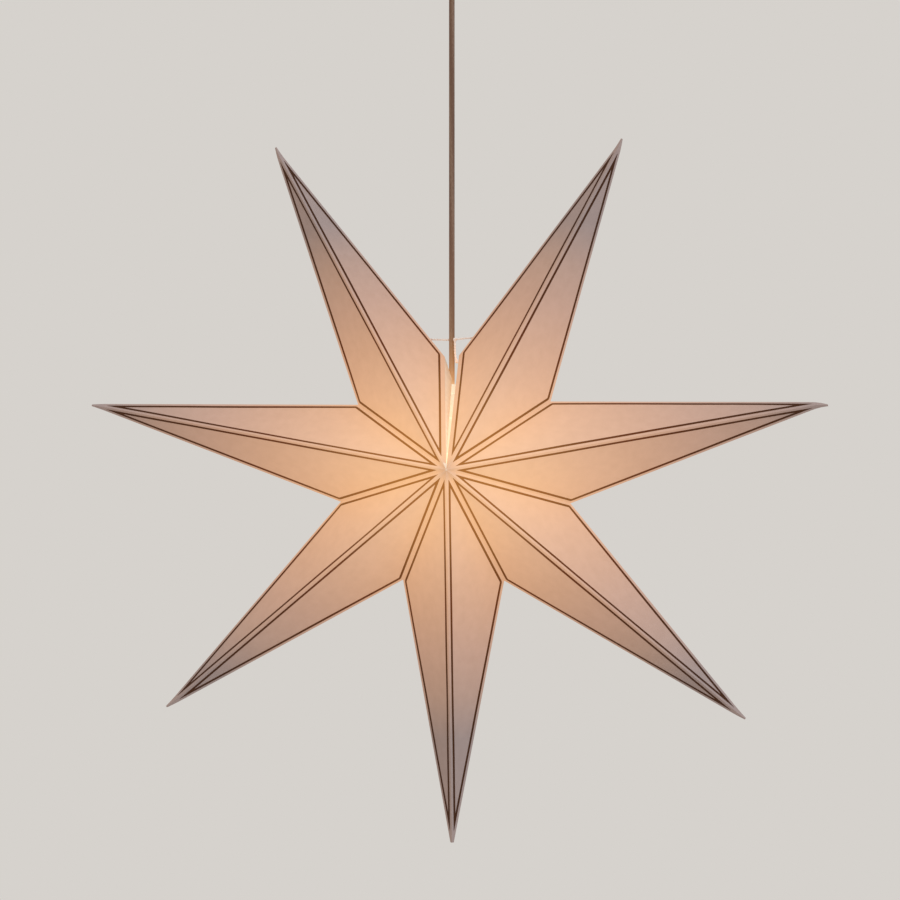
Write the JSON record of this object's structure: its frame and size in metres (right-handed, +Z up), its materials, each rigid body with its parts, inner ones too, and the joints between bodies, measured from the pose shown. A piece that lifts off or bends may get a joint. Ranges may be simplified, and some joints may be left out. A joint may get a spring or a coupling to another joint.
{
  "type": "folded paper star lantern",
  "caption": "Hanging folded paper star lantern with long hollow points round a small bulb, tied shut above it with string and hung by a textile cord.",
  "frame": {"origin": "on the ceiling, in the middle of the ceiling strap's upper face, above the cord", "axes": "+Z up into the ceiling, the star faces -Y, +X to the right of someone who looks at its front"},
  "size_m": [0.7384, 0.16, 0.918],
  "materials": {
    "paper": "matt folded paper, lit from inside",
    "printed_line": "matt bronze-brown printed line",
    "cotton_string": "twisted cotton",
    "opal_bulb": "opal, lit",
    "brass": "plain",
    "white_plastic": "satin moulded",
    "textile_cord": "braided copper-brown sleeve",
    "zinc_steel": "zinc-plated"
  },
  "bodies": {
    "root": {"point_1": "paper", "point_2": "paper", "point_3": "paper", "point_4": "paper", "point_5": "paper", "point_6": "paper", "point_7": "paper", "outline_1": "printed_line", "outline_2": "printed_line", "outline_3": "printed_line", "outline_4": "printed_line", "outline_5": "printed_line", "outline_6": "printed_line", "outline_7": "printed_line", "tie_string": "cotton_string", "bulb": "opal_bulb", "screw_shell": "brass", "centre_contact": "brass", "holder_insert": "white_plastic", "terminal_screws": "brass", "holder_body": "white_plastic", "holder_cap": "white_plastic", "holder_grip": "white_plastic", "cord": "textile_cord", "cup_grip": "white_plastic", "ceiling_cup": "white_plastic", "cup_screws": "zinc_steel", "ceiling_strap": "zinc_steel", "terminal_block": "white_plastic"}
  },
  "joints": []
}
